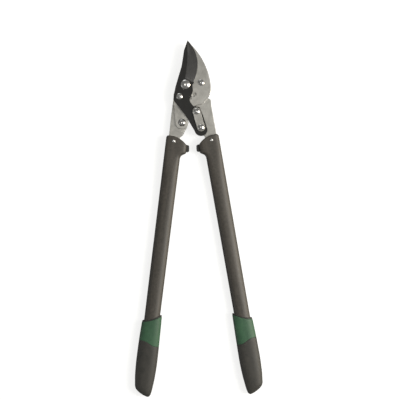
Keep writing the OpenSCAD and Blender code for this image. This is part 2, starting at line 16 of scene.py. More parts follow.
import bmesh
import bpy
import numpy as np
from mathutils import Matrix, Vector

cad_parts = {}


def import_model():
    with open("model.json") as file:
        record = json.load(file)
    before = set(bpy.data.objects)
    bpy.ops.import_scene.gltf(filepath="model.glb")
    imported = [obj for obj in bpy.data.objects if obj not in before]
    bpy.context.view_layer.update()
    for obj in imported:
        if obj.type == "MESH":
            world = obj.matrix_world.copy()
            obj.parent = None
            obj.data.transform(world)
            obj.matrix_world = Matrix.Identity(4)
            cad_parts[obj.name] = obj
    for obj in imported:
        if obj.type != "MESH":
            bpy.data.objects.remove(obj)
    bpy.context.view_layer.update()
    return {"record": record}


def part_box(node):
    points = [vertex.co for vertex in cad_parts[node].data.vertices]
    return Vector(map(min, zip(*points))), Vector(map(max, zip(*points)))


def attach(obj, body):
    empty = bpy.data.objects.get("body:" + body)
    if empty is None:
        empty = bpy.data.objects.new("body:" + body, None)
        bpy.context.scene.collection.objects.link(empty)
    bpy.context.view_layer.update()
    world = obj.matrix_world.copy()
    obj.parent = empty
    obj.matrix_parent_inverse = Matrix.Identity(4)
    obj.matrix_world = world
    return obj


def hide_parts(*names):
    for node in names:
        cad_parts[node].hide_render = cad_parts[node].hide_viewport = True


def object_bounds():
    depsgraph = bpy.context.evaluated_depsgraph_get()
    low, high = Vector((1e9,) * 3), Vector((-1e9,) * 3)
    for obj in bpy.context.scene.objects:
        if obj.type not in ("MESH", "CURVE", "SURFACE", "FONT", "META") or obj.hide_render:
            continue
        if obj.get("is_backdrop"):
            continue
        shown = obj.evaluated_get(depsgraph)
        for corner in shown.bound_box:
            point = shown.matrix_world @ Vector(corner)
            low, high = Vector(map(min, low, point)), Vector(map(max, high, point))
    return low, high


LOG = logging.getLogger("lopper")
MM = 0.001
Colour = tuple[float, float, float]
Place = tuple[float, float, float]

WELD = 1e-6  # corners nearer than this are one
FLAT_TURN = math.radians(0.4)  # an edge that turns less than this is dissolved
FACES_UP = 0.5  # a face whose normal rises more than this is part of the front
GRIND_TURN = math.radians(4)  # an edge of the front that turns more than this stays sharp
BEVEL_TURN = math.radians(35)  # an edge that turns more than this is rounded
BOSS_DROP = 20 * MM  # from a handle's v = 0 down to its boss mount


# ------------------------------------------------------------------ numbers and curves


def ease(knots: Sequence[float], values: Sequence[float], at: np.ndarray) -> np.ndarray:
    """Smooth curve through knots that never overshoots them.

    Each stretch is a cubic whose slope at a knot is the harmonic mean of the slopes on both sides, or
    zero where they differ in sign.

    Args:
        knots: Places of the knots, rising.
        values: Value at each knot.
        at: Places to read the curve at.

    Returns:
        The curve's values, in the shape of at.
    """
    x, y, at = np.asarray(knots, float), np.asarray(values, float), np.asarray(at, float)
    step, rise = np.diff(x), np.diff(y)
    slope = rise / step
    before, after = slope[:-1], slope[1:]
    same = before * after > 0
    inner = np.where(same, 2 * before * after / np.where(same, before + after, 1), 0)
    tangent = np.concatenate([slope[:1], inner, slope[-1:]])
    i = np.clip(np.searchsorted(x, at) - 1, 0, len(x) - 2)
    h = step[i]
    t = np.clip((at - x[i]) / h, 0, 1)
    return (
        y[i] * (1 + 2 * t) * (1 - t) ** 2
        + y[i + 1] * t**2 * (3 - 2 * t)
        + tangent[i] * h * t * (1 - t) ** 2
        - tangent[i + 1] * h * t**2 * (1 - t)
    )


def oval(width: np.ndarray, height: np.ndarray, power: np.ndarray,
         points: int) -> tuple[np.ndarray, np.ndarray]:
    """Superellipse sections: |x / width| ** power + |z / height| ** power = 1.

    Args:
        width: Half the width of each section.
        height: Half the height of each section.
        power: 2 gives an ellipse, and more gives a fuller section.
        points: Points round each section.

    Returns:
        x and z, each of shape (sections, points).
    """
    t = np.linspace(0, 2 * np.pi, points, endpoint=False)[None, :]
    e = 2 / np.asarray(power, float)[:, None]
    x = np.sign(np.cos(t)) * np.abs(np.cos(t)) ** e * np.asarray(width, float)[:, None]
    z = np.sign(np.sin(t)) * np.abs(np.sin(t)) ** e * np.asarray(height, float)[:, None]
    return x, z


# ------------------------------------------------------------------ meshes


def grid_quads(rows: int, columns: int, joined: bool) -> np.ndarray:
    """Corner numbers of the quads of a grid that closes on itself across its columns.

    Args:
        rows: Rows of points.
        columns: Points in each row.
        joined: Whether the last row is joined to the first.

    Returns:
        An array of shape (quads, 4).
    """
    i, j = np.meshgrid(np.arange(rows if joined else rows - 1), np.arange(columns), indexing="ij")
    here, above, beside = i * columns, (i + 1) % rows * columns, (j + 1) % columns
    return np.stack([here + j, here + beside, above + beside, above + j], -1).reshape(-1, 4)


def volume(points: np.ndarray, quads: np.ndarray) -> float:
    """Volume inside a skin of quads, positive where the faces point outwards."""
    a, b, c, d = (points[quads[:, n]] for n in range(4))
    return float(np.sum(a * np.cross(b, c)) + np.sum(a * np.cross(c, d))) / 6


def placed(name: str, data: bpy.types.ID) -> bpy.types.Object:
    """Puts a mesh, a light or a camera in the scene, at the origin."""
    piece = bpy.data.objects.new(name, data)
    bpy.context.scene.collection.objects.link(piece)
    return piece


def skin(name: str, rings: np.ndarray, crease: float, joined: bool = False) -> bpy.types.Object:
    """Closed, smooth skin over a row of rings.

    Args:
        name: Name of the new object.
        rings: Points of shape (rings, points of a ring, 3).
        crease: Edges that turn by more than this many degrees stay sharp.
        joined: Joins the last ring to the first, instead of closing both ends with a face.

    Returns:
        The new object, at the origin.
    """
    rows, columns = rings.shape[:2]
    points = rings.reshape(-1, 3)
    quads = grid_quads(rows, columns, joined)
    ends = [] if joined else [np.arange(columns)[::-1], (rows - 1) * columns + np.arange(columns)]
    if volume(points - points.mean(0), quads) < 0:
        quads, ends = quads[:, ::-1], [e[::-1] for e in ends]
    corners = np.concatenate([quads.ravel(), *ends]).astype(np.int32)
    sizes = np.concatenate([np.full(len(quads), 4), [len(e) for e in ends]]).astype(np.int32)
    mesh = bpy.data.meshes.new(name)
    mesh.vertices.add(len(points))
    mesh.vertices.foreach_set("co", points.astype(np.float32).ravel())
    mesh.loops.add(len(corners))
    mesh.loops.foreach_set("vertex_index", corners)
    mesh.polygons.add(len(sizes))
    mesh.polygons.foreach_set("loop_start", (np.cumsum(sizes) - sizes).astype(np.int32))
    mesh.update(calc_edges=True)
    mesh.validate()
    mesh.shade_smooth()
    mesh.set_sharp_from_angle(angle=math.radians(crease))
    return placed(name, mesh)


def turned(name: str, centre: Sequence[float], radius: np.ndarray, height: np.ndarray, crease: float,
           sides: int = 72) -> bpy.types.Object:
    """Piece turned on a lathe: a profile of radius and height carried round an upright axis.

    Args:
        name: Name of the new object.
        centre: Place of the axis, as x and y.
        radius: Radius of each point of the profile.
        height: Height of each point of the profile, as z.
        crease: Edges that turn by more than this many degrees stay sharp.
        sides: Points round the axis.

    Returns:
        The new object.
    """
    t = np.linspace(0, 2 * np.pi, sides, endpoint=False)
    r, z = np.asarray(radius, float)[:, None], np.asarray(height, float)[:, None]
    rings = np.stack([centre[0] + r * np.cos(t), centre[1] + r * np.sin(t), z + 0 * t], -1)
    return skin(name, rings, crease)


def softened(node: str, name: str, radius: float, segments: int = 3) -> bpy.types.Object:
    """Copy of a CAD node, merged into one skin, with its sharp edges rounded.

    A shallow edge on the front, such as where the blade's grind begins, is kept as a clean line.

    Args:
        node: The CAD node to copy.
        name: Name of the new object.
        radius: Radius of the rounded edges.
        segments: Faces across a rounded edge.

    Returns:
        The new object, which replaces the node.
    """
    mesh = bpy.data.meshes.new(name)
    work = bmesh.new()
    work.from_mesh(bpy.data.objects[node].data)
    bmesh.ops.remove_doubles(work, verts=work.verts, dist=WELD)
    bmesh.ops.dissolve_limit(work, angle_limit=FLAT_TURN, verts=work.verts, edges=work.edges)
    for face in work.faces:
        face.smooth = True
    for edge in work.edges:
        up = len(edge.link_faces) == 2 and min(face.normal.z for face in edge.link_faces) > FACES_UP
        edge.smooth = not (up and edge.calc_face_angle(0) > GRIND_TURN)
    work.to_mesh(mesh)
    work.free()
    piece = placed(name, mesh)
    bevel = piece.modifiers.new("rounded edges", "BEVEL")
    bevel.width, bevel.segments, bevel.use_clamp_overlap = radius, segments, False
    bevel.limit_method, bevel.angle_limit = "ANGLE", BEVEL_TURN
    bevel.miter_outer = "MITER_ARC"
    flat = piece.modifiers.new("flat faces", "WEIGHTED_NORMAL")
    flat.keep_sharp, flat.weight = True, 100
    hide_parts(node)
    return piece


# ------------------------------------------------------------------ material graphs


class Graph:
    """Shorthand for the nodes of one material, all on Object coordinates."""

    def __init__(self, name: str) -> None:
        """Makes an empty material of that name with one surface shader."""
        self.material = bpy.data.materials.new(name)
        self.material.use_nodes = True
        self.tree = self.material.node_tree
        self.tree.nodes.clear()
        self.out = self.tree.nodes.new("ShaderNodeOutputMaterial")
        self.shader = self.tree.nodes.new("ShaderNodeBsdfPrincipled")
        self.tree.links.new(self.shader.outputs[0], self.out.inputs["Surface"])
        self.place = self.tree.nodes.new("ShaderNodeTexCoord").outputs["Object"]

    def node(self, kind: str, inputs: dict[str | int, object], **settings: object) -> bpy.types.Node:
        """Adds a node, sets its settings, and sets or links its inputs."""
        made = self.tree.nodes.new(kind)
        for key, value in settings.items():
            setattr(made, key, value)
        for key, value in inputs.items():
            if isinstance(value, bpy.types.NodeSocket):
                self.tree.links.new(value, made.inputs[key])
            else:
                made.inputs[key].default_value = value
        return made

    def at(self, scale: Sequence[float] = (1, 1, 1), turn: float = 0.0) -> bpy.types.NodeSocket:
        """Object coordinates, turned about Z and then stretched."""
        turned_to = self.node("ShaderNodeMapping", {"Vector": self.place, "Rotation": (0, 0, turn)})
        scaled = self.node("ShaderNodeMapping", {"Vector": turned_to.outputs[0], "Scale": tuple(scale)})
        return scaled.outputs[0]

    def noise(self, where: bpy.types.NodeSocket, scale: float, detail: float = 4, rough: float = 0.55,
              distortion: float = 0.0) -> bpy.types.NodeSocket:
        """Cloudy pattern from 0 to 1."""
        return self.node("ShaderNodeTexNoise", {"Vector": where, "Scale": scale, "Detail": detail,
                                                "Roughness": rough, "Distortion": distortion}).outputs["Fac"]

    def cells(self, where: bpy.types.NodeSocket, scale: float) -> bpy.types.NodeSocket:
        """Distance to the nearest of many scattered points."""
        return self.node("ShaderNodeTexVoronoi", {"Vector": where, "Scale": scale}).outputs["Distance"]

    def span(self, value: bpy.types.NodeSocket, low: float, high: float, to_low: float = 0.0,
             to_high: float = 1.0) -> bpy.types.NodeSocket:
        """Stretches a value from low..high to to_low..to_high, and stops it there."""
        return self.node("ShaderNodeMapRange", {"Value": value, "From Min": low, "From Max": high,
                                                "To Min": to_low, "To Max": to_high}).outputs[0]

    def sums(self, kind: str, a: object, b: object) -> bpy.types.NodeSocket:
        """Sum, product or other arithmetic of two values."""
        return self.node("ShaderNodeMath", {0: a, 1: b}, operation=kind).outputs[0]

    def blend(self, share: object, low: object, high: object) -> bpy.types.NodeSocket:
        """Colour between low and high."""
        def four(c: object) -> object:
            """A plain colour with its alpha, or a socket as it is."""
            return c if isinstance(c, bpy.types.NodeSocket) else (*c, 1)
        mixed = self.node("ShaderNodeMix", {0: share, 6: four(low), 7: four(high)}, data_type="RGBA")
        return mixed.outputs[2]

    def bump(self, height: bpy.types.NodeSocket, depth: float,
             under: bpy.types.NodeSocket | None = None) -> bpy.types.NodeSocket:
        """Normal of a surface that rises by depth where height is 1, on top of another bump."""
        inputs: dict[str | int, object] = {"Height": height, "Distance": depth, "Strength": 1.0}
        if under is not None:
            inputs["Normal"] = under
        return self.node("ShaderNodeBump", inputs).outputs[0]

    def worn_edges(self, radius: float) -> bpy.types.NodeSocket:
        """1 on edges and 0 on flats, from how far a rounded normal leans away from the true one."""
        low, high = 0.02, 0.2
        soft = self.node("ShaderNodeBevel", {"Radius": radius}, samples=6).outputs[0]
        true = self.node("ShaderNodeNewGeometry", {}).outputs["Normal"]
        lean = self.node("ShaderNodeVectorMath", {0: soft, 1: true}, operation="DOT_PRODUCT").outputs["Value"]
        return self.span(self.sums("SUBTRACT", 1.0, lean), low, high)

    def finish(self, colour: object, rough: object, normal: bpy.types.NodeSocket | None = None,
               **fixed: float) -> bpy.types.Material:
        """Joins colour, roughness and normal to the shader, and sets its other sockets.

        Args:
            colour: A colour or a socket.
            rough: A number or a socket.
            normal: The bumped normal.
            **fixed: Other sockets, with underscores for their spaces.

        Returns:
            The finished material.
        """
        for key, value in (("Base Color", colour), ("Roughness", rough), ("Normal", normal)):
            if isinstance(value, bpy.types.NodeSocket):
                self.tree.links.new(value, self.shader.inputs[key])
            elif value is not None:
                self.shader.inputs[key].default_value = (*value, 1) if isinstance(value, tuple) else value
        for key, value in fixed.items():
            self.shader.inputs[key.replace("_", " ")].default_value = value
        return self.material


@dataclass(frozen=True)
class CoatedSteel:
    """Satin black low-friction coating, rubbed to bare steel along its edges."""

    name: str = "coated steel"
    dark: Colour = (0.0045, 0.0043, 0.0038)
    light: Colour = (0.011, 0.0108, 0.0095)
    bare: Colour = (0.30, 0.295, 0.27)
    wear: float = 0.35

    def build(self) -> bpy.types.Material:
        """Makes the material."""
        g = Graph(self.name)
        patches = g.noise(g.at(), 45, 6, 0.6, 0.4)
        streaks = g.noise(g.at((1, 0.12, 1), 0.35), 900, 3, 0.6)
        peel = g.noise(g.at(), 1500, 3, 0.5)
        chips = g.span(g.noise(g.at(), 420, 5, 0.7), 0.4, 0.62)
        edge = g.sums("MULTIPLY", g.worn_edges(0.5 * MM), g.sums("MULTIPLY", chips, self.wear))
        scuffs = g.span(g.noise(g.at((1, 0.06, 1), -0.5), 1300, 4, 0.75), 0.66, 0.74, 0, 0.16)
        worn = g.sums("MAXIMUM", edge, scuffs)
        coat = g.blend(g.span(patches, 0.3, 0.72), self.dark, self.light)
        colour = g.blend(worn, coat, self.bare)
        rough = g.sums("ADD", g.span(patches, 0.3, 0.7, 0.30, 0.42), g.span(streaks, 0.35, 0.7, -0.04, 0.05))
        normal = g.bump(peel, 0.03 * MM, g.bump(streaks, 0.02 * MM))
        return g.finish(colour, rough, normal, Specular_IOR_Level=0.4)


@dataclass(frozen=True)
class PlatedSteel:
    """Tumbled, satin zinc plate with a faint rolled grain and handling marks."""

    name: str = "plated steel"
    dark: Colour = (0.34, 0.335, 0.31)
    light: Colour = (0.64, 0.63, 0.585)
    rough_from: float = 0.27
    rough_to: float = 0.46
    grain: float = 0.35

    def build(self) -> bpy.types.Material:
        """Makes the material."""
        g = Graph(self.name)
        clouds = g.noise(g.at(), 38, 7, 0.62, 0.6)
        rolled = g.noise(g.at((1, 0.045, 1), self.grain), 1500, 4, 0.65)
        pits = g.cells(g.at(), 900)
        scratch = g.span(g.noise(g.at((1, 0.03, 1), -0.9), 900, 2, 0.6), 0.69, 0.72)
        edge = g.worn_edges(0.6 * MM)
        tone = g.sums("ADD", g.span(clouds, 0.28, 0.75, 0, 0.75), g.span(rolled, 0.3, 0.7, -0.12, 0.15))
        colour = g.blend(g.sums("MAXIMUM", tone, g.sums("MULTIPLY", edge, 0.9)), self.dark, self.light)
        rough = g.sums("ADD", g.span(clouds, 0.25, 0.75, self.rough_to, self.rough_from),
                       g.sums("MULTIPLY", scratch, -0.09))
        normal = g.bump(rolled, 0.018 * MM, g.bump(g.span(pits, 0.0, 0.35), 0.012 * MM))
        return g.finish(colour, rough, normal, Metallic=1.0)


@dataclass(frozen=True)
class BrightSteel:
    """Turned and zinc-plated hardware, brighter than the plates, with a hammered, finely grained skin."""

    name: str = "bright steel"
    dark: Colour = (0.50, 0.495, 0.47)
    light: Colour = (0.80, 0.79, 0.76)
    rough: float = 0.16

    def build(self) -> bpy.types.Material:
        """Makes the material."""
        g = Graph(self.name)
        clouds = g.noise(g.at(), 260, 5, 0.6, 0.5)
        hammered = g.cells(g.at(), 420)
        fine = g.noise(g.at(), 2600, 3, 0.6)
        colour = g.blend(g.span(clouds, 0.3, 0.7), self.dark, self.light)
        rough = g.span(clouds, 0.25, 0.75, self.rough + 0.1, self.rough)
        normal = g.bump(g.span(hammered, 0, 0.6), 0.03 * MM, g.bump(fine, 0.006 * MM))
        return g.finish(colour, rough, normal, Metallic=1.0)


@dataclass(frozen=True)
class MouldedComposite:
    """Glass-filled moulding: warm dark grey with a fine eroded grain, flow marks and a parting line."""

    name: str = "moulded composite"
    dark: Colour = (0.034, 0.031, 0.0255)
    light: Colour = (0.076, 0.067, 0.056)
    middle: float = 0.0125
    lean: float = 0.0

    def build(self) -> bpy.types.Material:
        """Makes the material."""
        g = Graph(self.name)
        flow = g.noise(g.at((1, 0.09, 1), -self.lean), 85, 5, 0.6, 0.8)
        mottle = g.noise(g.at(), 240, 6, 0.62)
        grain = g.noise(g.at(), 2300, 3, 0.6)
        pebble = g.cells(g.at(), 1500)
        rub = g.span(g.noise(g.at((1, 0.05, 1), 0.4 - self.lean), 700, 4, 0.75), 0.64, 0.74, 0, 0.35)
        z = g.node("ShaderNodeSeparateXYZ", {0: g.place}).outputs[2]
        off = g.sums("ABSOLUTE", g.sums("SUBTRACT", z, self.middle), 0.0)
        line = g.span(off, 0.0, 0.16 * MM, 1, 0)
        tone = g.sums("ADD", g.span(flow, 0.3, 0.7, 0, 0.6), g.span(mottle, 0.35, 0.7, -0.1, 0.4))
        colour = g.blend(g.sums("MAXIMUM", tone, rub), self.dark, self.light)
        rough = g.sums("ADD", g.span(mottle, 0.3, 0.7, 0.47, 0.57), g.sums("MULTIPLY", rub, -0.12))
        normal = g.bump(g.span(pebble, 0, 0.5), 0.035 * MM, g.bump(grain, 0.03 * MM, g.bump(line, 0.12 * MM)))
        return g.finish(colour, rough, normal, Specular_IOR_Level=0.5)


@dataclass(frozen=True)
class SoftGrip:
    """Soft over-moulded rubber with a pebbled skin, duller where hands have rubbed it."""

    name: str = "soft grip"
    dark: Colour = (0.021, 0.0215, 0.0185)
    light: Colour = (0.047, 0.044, 0.038)
    pebbles: float = 1150
    depth: float = 0.07

    def build(self) -> bpy.types.Material:
        """Makes the material."""
        g = Graph(self.name)
        clouds = g.noise(g.at(), 60, 5, 0.6, 0.5)
        mottle = g.noise(g.at(), 420, 5, 0.65)
        pebble = g.cells(g.at(), self.pebbles)
        grain = g.noise(g.at(), 3000, 2, 0.6)
        tone = g.sums("ADD", g.span(clouds, 0.3, 0.7, 0, 0.6), g.span(mottle, 0.3, 0.7, -0.08, 0.4))
        colour = g.blend(tone, self.dark, self.light)
        rough = g.sums("ADD", g.span(clouds, 0.3, 0.7, 0.5, 0.62), g.span(mottle, 0.3, 0.7, -0.04, 0.04))
        normal = g.bump(g.span(pebble, 0, 0.45), self.depth * MM, g.bump(grain, 0.012 * MM))
        return g.finish(colour, rough, normal, Specular_IOR_Level=0.45, Sheen_Weight=0.12,
                        Sheen_Roughness=0.5)


@dataclass(frozen=True)
class StudioPaper:
    """Pale seamless paper that glows to the eye but throws no light on the lopper."""

    name: str = "studio paper"
    colour: Colour = (0.34, 0.34, 0.34)
    glow: float = 0.8

    def build(self) -> bpy.types.Material:
        """Makes the material."""
        g = Graph(self.name)
        fibre = g.noise(g.at(), 900, 4, 0.6)
        tint = g.blend(g.span(fibre, 0.3, 0.7), tuple(0.985 * c for c in self.colour), self.colour)
        seen = g.sums("MULTIPLY", g.node("ShaderNodeLightPath", {}).outputs["Is Camera Ray"], self.glow)
        g.tree.links.new(seen, g.shader.inputs["Emission Strength"])
        return g.finish(tint, 0.9, g.bump(fibre, 0.02 * MM), Emission_Color=(1.0, 1.0, 0.99, 1.0),
                        Specular_IOR_Level=0.1)


@dataclass(frozen=True)
class Palette:
    """The lopper's shared materials, built once."""

    blade: bpy.types.Material
    plate: bpy.types.Material
    bright: bpy.types.Material
    bumper: bpy.types.Material
    grip: bpy.types.Material
    green: bpy.types.Material
    lip: bpy.types.Material
    tube: bpy.types.Material
    plug: bpy.types.Material

    @classmethod
    def mix(cls) -> "Palette":
        """Builds the materials."""
        return cls(
            blade=CoatedSteel().build(),
            plate=PlatedSteel().build(),
            bright=BrightSteel().build(),
            bumper=SoftGrip("bumper rubber", (0.016, 0.016, 0.015), (0.03, 0.03, 0.028), 700, 0.04).build(),
            grip=SoftGrip().build(),
            green=SoftGrip("green grip", (0.020, 0.068, 0.034), (0.040, 0.116, 0.056)).build(),
            # The lip's rubber is darker than the grip's: painted shade for the dark line along the grip's
            # flared top.
            lip=SoftGrip("grip lip", (0.010, 0.011, 0.010), (0.022, 0.023, 0.020), 1600, 0.03).build(),
            tube=PlatedSteel("drawn tube", (0.5, 0.5, 0.51), (0.68, 0.69, 0.70), 0.3, 0.42, 0.1).build(),
            plug=MouldedComposite("black plug", (0.012, 0.012, 0.012), (0.024, 0.024, 0.024)).build(),
        )


def dress(piece: bpy.types.Object, material: bpy.types.Material) -> bpy.types.Object:
    """Gives a piece one material and returns it."""
    piece.data.materials.clear()
    piece.data.materials.append(material)
    return piece


def mount(piece: bpy.types.Object, body: str, material: bpy.types.Material) -> bpy.types.Object:
    """Dresses a new piece, sets it on its body and logs which body it rides on."""
    dress(piece, material)
    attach(piece, body)
    LOG.info("%s rides on %s", piece.name, body)
    return piece


# ------------------------------------------------------------------ head


class Side(Enum):
    """The two levers: the value is the direction of outwards along X."""

    LEFT = -1
    RIGHT = 1

    @property
    def word(self) -> str:
        """left or right."""
        return self.name.lower()

    @property
    def body(self) -> str:
        """The body that this side's lever is."""
        return "left_lever" if self is Side.LEFT else "frame"


@dataclass
class Plates:
    """The head's flat steel plates: blade, hook, strap and both tangs."""

    edge: float = 0.45 * MM
    blade_edge: float = 0.22 * MM

    def build(self, palette: Palette) -> None:
        """Rounds the plates' edges and dresses them."""
        mount(softened("blade", "blade_plate", self.blade_edge), "frame", palette.blade)
        rest = [("hook", "hook_plate", "hook"), ("arm_strap", "strap_plate", "frame"),
                ("right_tang", "right_tang_plate", "frame"), ("left_tang", "left_tang_plate", "left_lever")]
        for node, name, body in rest:
            mount(softened(node, name, self.edge), body, palette.plate)


@dataclass
class Fasteners:
    """Domed rivets, the pivot bolt and the small round parts behind them."""

    flange: float = 0.25 * MM
    steps: int = 14
    crease: float = 50.0
    tip: float = 0.2 * MM
    bolt_head: float = 4.2 * MM
    rivet_head: float = 3.0 * MM
    cross_head: float = 1.0 * MM
    tail_chamfer: float = 0.8 * MM
    least_rim: float = 0.3 * MM
    rim_margin: float = 0.2 * MM
    shank_from: float = 1 * MM
    shank_share: float = 0.2
    ring_edge: float = 0.25 * MM
    # Edge of the black ring that stands as painted shade under the drive pin's head.
    seal_edge: float = 0.2 * MM

    def dome(self, node: str, body: str, palette: Palette, shoulder: float) -> bpy.types.Object:
        """Rivet or bolt with a crowned head and, behind, what the CAD gives it.

        The head's profile is a quarter ellipse from a short upright rim to the crown; the back is a
        flatter quarter ellipse; the shank joins them.

        Args:
            node: The CAD node that it replaces.
            body: The body that it rides on.
            palette: The materials.
            shoulder: Height of the head above the plate that it sits on.

        Returns:
            The new object.
        """
        low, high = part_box(node)
        centre, reach = (low + high) / 2, (high.x - low.x) / 2
        r, z = self.corners(node)
        shank, rim = self.shank(r), self.flange * 2
        t = np.linspace(0, np.pi / 2, self.steps)
        seat = high.z - shoulder
        crown_r, crown_z = reach * np.cos(t), seat + rim + (shoulder - rim) * np.sin(t)
        back = self.back(r, z, shank)
        neck_r = [shank, shank, reach - self.flange, reach]
        neck_z = [back[-1, 1], seat, seat, seat + self.flange]
        radius = np.concatenate([back[:, 0], neck_r, crown_r[:-1], [self.tip]])
        height = np.concatenate([back[:, 1], neck_z, crown_z[:-1], [high.z]])
        piece = turned(f"{node}_domed", (centre.x, centre.y), radius, height, self.crease)
        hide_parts(node)
        return mount(piece, body, palette.bright)

    def corners(self, node: str) -> tuple[np.ndarray, np.ndarray]:
        """Distance from the axis, and height, of each corner of a pin's CAD node."""
        mesh = bpy.data.objects[node].data
        co = np.empty(len(mesh.vertices) * 3, np.float32)
        mesh.vertices.foreach_get("co", co)
        co = co.reshape(-1, 3)
        middle = (co[:, :2].max(0) + co[:, :2].min(0)) / 2
        return np.hypot(*(co[:, :2] - middle).T), co[:, 2]

    def shank(self, r: np.ndarray) -> float:
        """Radius of a pin's shank, read from the corners nearest its axis."""
        return float(np.quantile(r[r > self.shank_from], self.shank_share))

    def back(self, r: np.ndarray, z: np.ndarray, shank: float) -> np.ndarray:
        """Profile of a pin's rear end: a riveted head, or a chamfer where there is none.

        Args:
            r: Distance of each corner of the CAD node from its axis.
            z: Height of each corner.
            shank: Radius of the shank.

        Returns:
            Radius and height of each point, from the tip up to the shank.
        """
        bottom = z.min()
        rear = z < (z.max() + bottom) / 2
        wide = r[rear].max()
        if wide < shank + self.least_rim:
            cut = self.tail_chamfer
            return np.array([[self.tip, bottom], [shank - cut, bottom], [shank, bottom + cut]])
        top = z[rear & (r > shank + self.rim_margin)].max()
        t = np.linspace(np.pi / 2, 0, self.steps)
        crown = np.stack([wide * np.cos(t), top - (top - bottom) * np.sin(t)], -1)
        crown[0] = [self.tip, bottom]
        return np.concatenate([crown, [[shank, top]]])

    def build(self, palette: Palette) -> None:
        """Builds the domed pins and dresses the small round parts."""
        self.dome("pivot_bolt", "frame", palette, self.bolt_head)
        for node, body in (("arm_rivet_upper", "frame"), ("arm_rivet_lower", "frame"),
                           ("handle_pivot_pin", "frame"), ("hook_stop_rivet", "hook"), ("drive_pin", "hook")):
            self.dome(node, body, palette, self.rivet_head)
        for side in Side:
            self.dome(f"{side.word}_cross_rivet", side.body, palette, self.cross_head)
        hooked = {"pivot_bush", "drive_bush", "drive_washer"}
        for node in ("arm_spacer_upper", "arm_spacer_lower", "pivot_bush", "pivot_washer", "pivot_nut",
                     "handle_pivot_spacer", "handle_pivot_washer", "drive_bush", "drive_washer"):
            ring = softened(node, f"{node}_turned", self.ring_edge, 2)
            mount(ring, "hook" if node in hooked else "frame", palette.bright)
        # Ring under the drive pin's head in the black coating: painted shade for the gap between the head and
        # the plate.
        shade_ring = softened("drive_pin_ring", "drive_pin_seal", self.seal_edge, 2)
        mount(shade_ring, "hook", palette.blade)


# ------------------------------------------------------------------ handles


@dataclass
class HandleFrame:
    """Axes of one handle, from its two mounts: u outwards, v up along it, z up from its middle."""

    side: Side
    origin: np.ndarray
    up: np.ndarray
    middle: float

    @classmethod
    def of(cls, side: Side, record: dict) -> "HandleFrame":
        """Finds the axes: the boss mount lies BOSS_DROP below v = 0, in line with the grip mount."""
        found = {m["name"]: np.array(m["pos_m"]) for m in record["mounts"]}
        boss, hold = found[f"{side.word}_boss_rest"], found[f"{side.word}_grip_hold"]
        up = (boss - hold)[:2] / np.linalg.norm((boss - hold)[:2])
        return cls(side, boss[:2] + up * BOSS_DROP, up, float(hold[2]))

    @property
    def lean(self) -> float:
        """Angle from +Y to the handle's own up direction, anticlockwise."""
        return math.atan2(-self.up[0], self.up[1])

    def place(self, u: np.ndarray, v: np.ndarray, z: np.ndarray) -> np.ndarray:
        """Turns u, v and z, which broadcast, into points of the lopper's frame."""
        across = np.array([self.up[1], -self.up[0]]) * self.side.value
        u, v, z = np.broadcast_arrays(u, v, z)
        flat = self.origin + u[..., None] * across + v[..., None] * self.up
        return np.concatenate([flat, (self.middle + z)[..., None]], -1)


